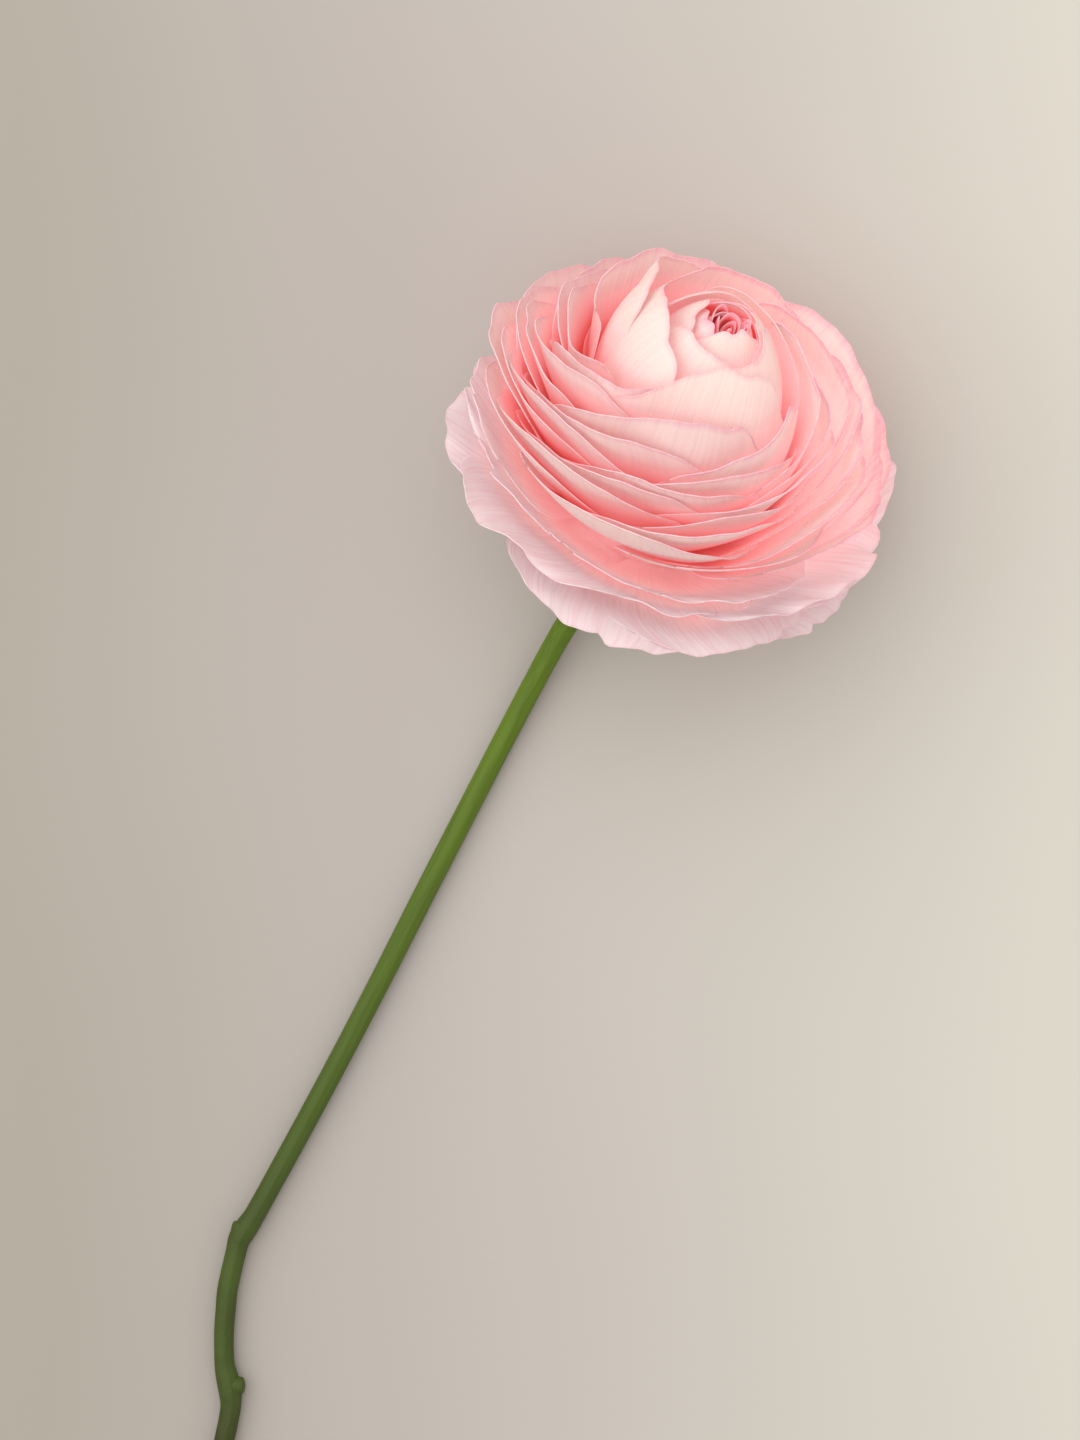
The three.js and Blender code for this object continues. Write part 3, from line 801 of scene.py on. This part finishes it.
def bumped(tree, height, strength, distance, below=None):
    """A skin that rises by height, over another if one is given. Returns its normal."""
    inputs = {"Height": height, "Strength": strength, "Distance": distance}
    if below is not None:
        inputs["Normal"] = below
    return add(tree, "Bump", inputs).outputs["Normal"]


def stretched(tree, vector, scale):
    """A vector scaled differently each way. Returns it."""
    return add(tree, "Mapping", {"Vector": vector, "Scale": scale}).outputs[0]


def skinned(tree, inputs):
    """Ends a material with one shader."""
    shader = add(tree, "BsdfPrincipled", inputs)
    add(tree, "OutputMaterial", {"Surface": shader.outputs[0]})


def new_material(name):
    """An empty node material and its tree."""
    made = bpy.data.materials.new(name)
    made.use_nodes = True
    made.node_tree.nodes.clear()
    made.cycles.emission_sampling = "NONE"
    return made, made.node_tree


def let_through(tree, outlook, far, glow):
    """How strongly light shows that has come through other petals. Returns it.

    It is stronger where a petal is shut in, weaker again at the very bottom of a gap, and a
    little stronger on the far side, where more comes in from behind.
    """
    deep = combined(
        tree, "MINIMUM", fitted(tree, outlook, 0.0, 0.1, glow * 0.6, glow * 1.25),
        fitted(tree, outlook, 0.0, 0.45, glow * 1.5, glow * 0.25))
    return combined(tree, "ADD", deep, fitted(tree, far, 0.0, 0.035, 0.0, glow * 0.3))


def petal_material(name, stops, through, vein, vein_share, margin, margin_share, margin_width,
                   glow):
    """Petal tissue: a waxed skin over soft cells, so light half passes and edges stay pale.

    stops colour the petal from where other petals shut it in (0) to where it sees open sky (1):
    painted shade in the deep places, paler where it is open. through gives the colours of a
    painted glow that stands for light come through other petals, at THROUGH_AT, and glow its
    strength.
    """
    settings = bpy.context.scene.ranunculus_bloom
    made, tree = new_material(name)
    outlook, edge, tone = (
        add(tree, "Attribute", attribute_name=layer).outputs["Fac"]
        for layer in ("open", "edge", "tone"))
    place_on = object_place(tree)
    across = add(tree, "UVMap", uv_map="UVMap").outputs["UV"]
    # Petals aren't evenly flushed: patches of about 12 mm, and a little more or less a petal.
    uneven = combined(tree, "ADD", noise(tree, place_on, 85.0), tone)
    outlook = combined(tree, "ADD", outlook, fitted(tree, uneven, 0.4, 1.6, -0.05, 0.05))
    # The petals on the far side, on the right and at the left edge stand with the light behind
    # them and look paler.
    parts = add(tree, "SeparateXYZ", {"Vector": place_on}).outputs
    far = combined(tree, "ADD", parts["Y"], parts["X"])
    behind = fitted(tree, far, -0.02, 0.03, -0.07, 0.17)
    beside = fitted(tree, parts["X"], -0.036, -0.022, 0.2, 0.0)
    paler = combined(tree, "ADD", outlook, combined(tree, "ADD", behind, beside))
    # Painted shade: the colour runs from the deep, red stops where other petals shut a point in
    # to the pale ones where it sees open sky.
    base = ramp(tree, fitted(tree, paler, 0.0, WIDE_OPEN), stops)
    # Veins fan from the root, about 1 mm apart where the petal is widest.
    streaks = noise(tree, stretched(tree, across, (64.0, 1.6, 1.0)), 1.0, 3.0, 0.6)
    lines = combined(tree, "MULTIPLY", fitted(tree, streaks, 0.45, 0.72), vein_share)
    shaded = blended(tree, lines, base, vein)
    # The margin is the petal's own edge colour. It is pinker on the far and right petals, painted
    # light that comes through them from behind, and comes and goes along an edge.
    hem = blended(tree, fitted(tree, far, -0.03, 0.02), margin, settings.magenta)
    near_edge = fitted(tree, edge, 0.0, margin_width, margin_share, 0.0)
    line = combined(tree, "MULTIPLY", near_edge, fitted(tree, streaks, 0.3, 0.6, 0.45, 1.0))
    skin = blended(tree, line, shaded, hem)
    fine = bumped(tree, noise(tree, place_on, 1600.0), 0.12, 0.0002)
    bump = bumped(tree, streaks, 0.35, 0.0006, fine)
    # Light that has come through more petals is redder.
    filtered = ramp(tree, paler, list(zip(THROUGH_AT, through)))
    # Emission paints a glow for that light, strongest where a petal is shut in.
    flesh = add(tree, "BsdfPrincipled", {
        "Base Color": skin, "Roughness": 0.52, "Normal": bump, "Sheen Weight": 0.15,
        "Sheen Roughness": 0.4, "Emission Color": filtered,
        "Emission Strength": let_through(tree, outlook, far, glow)})
    light_through = add(tree, "BsdfTranslucent", {"Color": skin, "Normal": bump})
    mixed = add(tree, "MixShader", {
        0: settings.see_through, 1: flesh.outputs[0], 2: light_through.outputs[0]})
    add(tree, "OutputMaterial", {"Surface": mixed.outputs[0]})
    return made


def receptacle_material():
    """Receptacle tissue: dense, moist and matt, lit red by the petals round it."""
    settings = bpy.context.scene.ranunculus_bloom
    made, tree = new_material("receptacle tissue")
    grain = noise(tree, object_place(tree), 300.0)
    # Emission paints the red light that the petals round it would throw on it.
    skinned(tree, {
        "Base Color": ramp(tree, grain, [(0.3, settings.salmon), (0.7, settings.blush)]),
        "Roughness": 0.6, "Emission Color": rgba(settings.salmon),
        "Emission Strength": 0.3 * settings.glow})
    return made


def stalk_material():
    """Living stalk skin: waxy and downy, with fine furrows, browner towards the cut."""
    settings = bpy.context.scene.ranunculus_stalk
    made, tree = new_material("stalk skin")
    place_on = object_place(tree)
    parts = add(tree, "SeparateXYZ", {"Vector": place_on}).outputs
    age = fitted(tree, parts["Y"], -0.045, -0.238)
    base = ramp(tree, age, [
        (0.08, settings.fresh), (0.62, settings.old), (0.8, settings.old),
        (0.89, settings.scar)])
    streaks = noise(tree, stretched(tree, place_on, (1400.0, 60.0, 1400.0)), 1.0, 3.0)
    streaked = blended(tree, fitted(tree, streaks, 0.42, 0.7, 0.0, 0.5), base, settings.old)
    blotches = fitted(tree, noise(tree, place_on, 90.0), 0.45, 0.65)
    worn = combined(tree, "MULTIPLY", blotches, fitted(tree, age, 0.55, 0.95, 0.0, 0.85))
    bump = bumped(tree, streaks, 0.4, 0.0004)
    skinned(tree, {
        "Base Color": blended(tree, worn, streaked, settings.scar), "Roughness": 0.5,
        "Normal": bumped(tree, noise(tree, place_on, 2600.0), 0.3, 0.0002, bump),
        "Sheen Weight": 0.04, "Sheen Roughness": 0.4, "Specular IOR Level": 0.25})
    return made


def pith_material():
    """Cut pith: pale, wet and spongy."""
    settings = bpy.context.scene.ranunculus_stalk
    made, tree = new_material("cut pith")
    cells = add(tree, "TexVoronoi", {
        "Vector": object_place(tree), "Scale": 2200.0}).outputs["Distance"]
    skinned(tree, {
        "Base Color": ramp(tree, cells, [(0.0, settings.pith), (0.8, settings.fresh)]),
        "Roughness": 0.35, "Normal": bumped(tree, cells, 0.5, 0.0002)})
    return made


def sepal_material():
    """Sepal skin: thin, downy and yellow-green, with darker streaks along it."""
    settings = bpy.context.scene.ranunculus_stalk
    made, tree = new_material("sepal skin")
    across = add(tree, "UVMap", uv_map="UVMap").outputs["UV"]
    streaks = noise(tree, stretched(tree, across, (18.0, 1.5, 1.0)), 1.0, 3.0)
    down = noise(tree, object_place(tree), 2600.0)
    skinned(tree, {
        "Base Color": ramp(tree, streaks, [(0.3, settings.sepal), (0.7, settings.fresh)]),
        "Roughness": 0.55, "Normal": bumped(tree, down, 0.35, 0.0003), "Sheen Weight": 0.3,
        "Sheen Roughness": 0.35})
    return made


def floor_material():
    """Painted board: matt, smooth and pale."""
    settings = bpy.context.scene.ranunculus_stage
    made, tree = new_material("painted board")
    place_on = object_place(tree)
    in_picture = add(tree, "Mapping", {
        "Vector": place_on, "Rotation": (0, 0, -CAMERA_TURN)}).outputs[0]
    sideways = add(tree, "SeparateXYZ", {"Vector": in_picture}).outputs["X"]
    drift = fitted(tree, noise(tree, place_on, 6.0, 1.0), 0.3, 0.7, -0.06, 0.06)
    # Painted shade and light: the board darkens towards the picture's left edge and lightens to
    # its right, with a soft random drift.
    run = combined(tree, "ADD", fitted(tree, sideways, -0.13, 0.07), drift)
    skinned(tree, {
        "Base Color": ramp(tree, run, [
            (0.0, settings.floor_shaded_edge), (0.4, settings.floor_cool), (1.0, settings.floor_warm)]),
        "Roughness": 0.9})
    return made


def kept(made, material, node):
    """Dresses a finished piece and ties it to the frame."""
    made.data.materials.clear()
    made.data.materials.append(material)
    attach(made, "root")
    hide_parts(node)


class RANUNCULUS_OT_heart(bpy.types.Operator):
    """Builds the small rolled petals round the eye of the bloom"""

    bl_idname = "ranunculus.heart"
    bl_label = "Heart petals"

    def execute(self, context):
        look = context.scene.ranunculus_bloom
        made = whorl("heart_petals", FIRST_MOUTH_PETAL, FIRST_BUD_PETAL, 36, 30, rolls())
        material = petal_material(
            "heart petal tissue",
            [(0.0, look.eye), (0.12, look.eye), (0.3, look.coral), (0.52, look.salmon),
             (0.72, look.blush), (0.95, look.rim)],
            (look.eye, look.coral, look.blush), vein=look.magenta, vein_share=0.15,
            margin=look.magenta, margin_share=0.8, margin_width=1.8, glow=look.glow * 1.2)
        kept(made, material, "inner_petals")
        return {"FINISHED"}


class RANUNCULUS_OT_bud(bpy.types.Operator):
    """Builds the broad petals that close over the heart"""

    bl_idname = "ranunculus.bud"
    bl_label = "Bud petals"

    def execute(self, context):
        look = context.scene.ranunculus_bloom
        made = whorl("bud_petals", FIRST_BUD_PETAL, FIRST_PACKED_PETAL, 36, 30)
        material = petal_material(
            "bud petal tissue",
            [(0.0, look.flush), (0.5, look.blush), (0.85, look.rim), (1.0, look.cream)],
            (look.coral, look.salmon, look.blush), vein=look.vein, vein_share=0.18,
            margin=look.magenta, margin_share=0.45, margin_width=1.1, glow=look.glow)
        kept(made, material, "inner_petals")
        return {"FINISHED"}


class RANUNCULUS_OT_packed(bpy.types.Operator):
    """Builds the many close petals round the bud, and the receptacle that holds them"""

    bl_idname = "ranunculus.packed"
    bl_label = "Packed petals"

    def execute(self, context):
        look = context.scene.ranunculus_bloom
        made = whorl("packed_petals", FIRST_PACKED_PETAL, FIRST_OUTER_PETAL, 36, 26)
        material = petal_material(
            "packed petal tissue",
            [(0.0, look.coral), (0.17, look.flush), (0.5, look.blush), (0.85, look.rim)],
            (look.coral, look.salmon, look.blush), vein=look.vein, vein_share=0.25,
            margin=look.vein, margin_share=0.7, margin_width=1.6, glow=look.glow)
        kept(made, material, "inner_petals")
        core = rounded("receptacle", RECEPTACLE, 48, 40)
        on_table(core)
        smoothed(core, 60)
        kept(core, receptacle_material(), "inner_petals")
        return {"FINISHED"}


class RANUNCULUS_OT_outer(bpy.types.Operator):
    """Builds the open, pale outer petals"""

    bl_idname = "ranunculus.outer"
    bl_label = "Outer petals"

    def execute(self, context):
        look = context.scene.ranunculus_bloom
        made = whorl("outer_petals_open", FIRST_OUTER_PETAL, PETALS, 48, 34)
        material = petal_material(
            "outer petal tissue",
            [(0.0, look.flush), (0.12, look.blush), (0.32, look.rim), (0.7, look.lilac)],
            (look.salmon, look.blush, look.lilac), vein=look.vein, vein_share=0.5,
            margin=look.vein, margin_share=0.3, margin_width=0.6, glow=look.glow * 0.75)
        kept(made, material, "outer_petals")
        return {"FINISHED"}


class RANUNCULUS_OT_calyx(bpy.types.Operator):
    """Builds the five sepals and the ring that carries them"""

    bl_idname = "ranunculus.calyx"
    bl_label = "Calyx"

    def execute(self, context):
        made = joined("calyx", [sepal(k) for k in range(SEPALS)])
        applied(made, "SOLIDIFY", thickness=SEPAL_THICKNESS * MM, offset=0)
        made = joined("calyx", [made, rounded("calyx_ring", CALYX_RING, 40, 30)])
        on_table(made)
        smoothed(made, 50)
        kept(made, sepal_material(), "sepals")
        return {"FINISHED"}


class RANUNCULUS_OT_stalk(bpy.types.Operator):
    """Builds the furrowed stalk with its leaf scars, its slanted cut and its flared head"""

    bl_idname = "ranunculus.stalk"
    bl_label = "Stalk"

    def execute(self, context):
        bar = stalk_bar()
        stubs = [stub(*kind) for kind in SCAR_STUBS]
        made = joined("stalk", [bar, *stubs, rounded("head", STALK_HEAD, 48, 40)])
        on_table(made)
        smoothed(made, 55)
        kept(made, stalk_material(), "stem")
        made.data.materials.append(pith_material())
        for face in made.data.polygons:
            outwards = np.array(face.normal) @ CUT_NORMAL
            depth = (CUT_AT - np.array(face.center) / MM) @ CUT_NORMAL
            face.material_index = int(outwards > 0.95 and depth < 0.1)
        return {"FINISHED"}


class RANUNCULUS_OT_stage(bpy.types.Operator):
    """Builds the table top, the soft lamp, the sky and the camera"""

    bl_idname = "ranunculus.stage"
    bl_label = "Stage"

    def execute(self, context):
        settings = context.scene.ranunculus_stage
        bpy.ops.object.select_all(action="DESELECT")
        bpy.ops.mesh.primitive_plane_add(size=TABLE_WIDTH)
        floor = context.active_object
        floor.name = floor.data.name = "table_top"
        floor.data.materials.append(floor_material())
        right = Vector((math.cos(CAMERA_TURN), math.sin(CAMERA_TURN), 0))
        up = Vector((-math.sin(CAMERA_TURN), math.cos(CAMERA_TURN), 0))
        off_x = RING_PIXEL[0] - PICTURE[0] / 2
        off_y = RING_PIXEL[1] - PICTURE[1] / 2
        centre = -(off_x * right - off_y * up) / PIXELS_PER_MM - Vector(REST_SPOT)
        camera = bpy.data.cameras.new("camera")
        eye = bpy.data.objects.new("camera", camera)
        context.collection.objects.link(eye)
        turn = Matrix((right, up, Vector((0, 0, 1)))).transposed().to_4x4()
        turn.translation = Vector((centre.x, centre.y, CAMERA_HEIGHT)) * MM
        eye.matrix_world = turn
        camera.sensor_width = FILM_WIDTH
        ring = context.scene.ranunculus_bloom.ring_height / MM
        camera.lens = FILM_WIDTH * (CAMERA_HEIGHT - ring) / (PICTURE[1] / PIXELS_PER_MM)
        context.scene.camera = eye
        hung = LAMP_AT[0] * right + LAMP_AT[1] * up + Vector((0, 0, LAMP_AT[2]))
        bpy.ops.object.light_add(type="AREA", location=hung)
        lamp = context.active_object
        lamp.name = "soft_lamp"
        lamp.data.size = LAMP_WIDTH
        lamp.data.energy = settings.key_power
        aim = Vector((0, 0, LAMP_AIM)) - lamp.location
        lamp.rotation_euler = aim.to_track_quat("-Z", "Y").to_euler()
        world = bpy.data.worlds.new("sky")
        context.scene.world = world
        world.use_nodes = True
        backdrop = world.node_tree.nodes["Background"]
        backdrop.inputs["Color"].default_value = rgba(settings.sky)
        backdrop.inputs["Strength"].default_value = settings.sky_strength
        context.scene.view_settings.view_transform = "Standard"
        return {"FINISHED"}


class RANUNCULUS_PT_sidebar(bpy.types.Panel):
    """Lists the flower's pieces and settings"""

    bl_label = "Ranunculus"
    bl_idname = "RANUNCULUS_PT_sidebar"
    bl_space_type = "VIEW_3D"
    bl_region_type = "UI"
    bl_category = "Ranunculus"

    def draw(self, context):
        for operator in OPERATORS:
            self.layout.operator(operator.bl_idname)
        for name, group in SETTINGS.items():
            box = self.layout.box()
            for field in group.__annotations__:
                box.prop(getattr(context.scene, name), field)


SETTINGS = {
    "ranunculus_bloom": BloomSettings,
    "ranunculus_stalk": StalkSettings,
    "ranunculus_stage": StageSettings,
}
OPERATORS = (
    RANUNCULUS_OT_heart, RANUNCULUS_OT_bud, RANUNCULUS_OT_packed, RANUNCULUS_OT_outer,
    RANUNCULUS_OT_calyx, RANUNCULUS_OT_stalk, RANUNCULUS_OT_stage,
)


def register():
    """Makes the settings, the operators and the sidebar known."""
    for item in (*SETTINGS.values(), *OPERATORS, RANUNCULUS_PT_sidebar):
        bpy.utils.register_class(item)
    for name, group in SETTINGS.items():
        setattr(bpy.types.Scene, name, bpy.props.PointerProperty(type=group))


def unregister():
    """Takes the settings, the operators and the sidebar away again."""
    for name in SETTINGS:
        delattr(bpy.types.Scene, name)
    for item in reversed((*SETTINGS.values(), *OPERATORS, RANUNCULUS_PT_sidebar)):
        bpy.utils.unregister_class(item)


def main():
    """Builds every piece in order."""
    register()
    bpy.ops.ranunculus.heart()
    bpy.ops.ranunculus.bud()
    bpy.ops.ranunculus.packed()
    bpy.ops.ranunculus.outer()
    bpy.ops.ranunculus.calyx()
    bpy.ops.ranunculus.stalk()
    bpy.ops.ranunculus.stage()


if __name__ == "__main__":
    main()
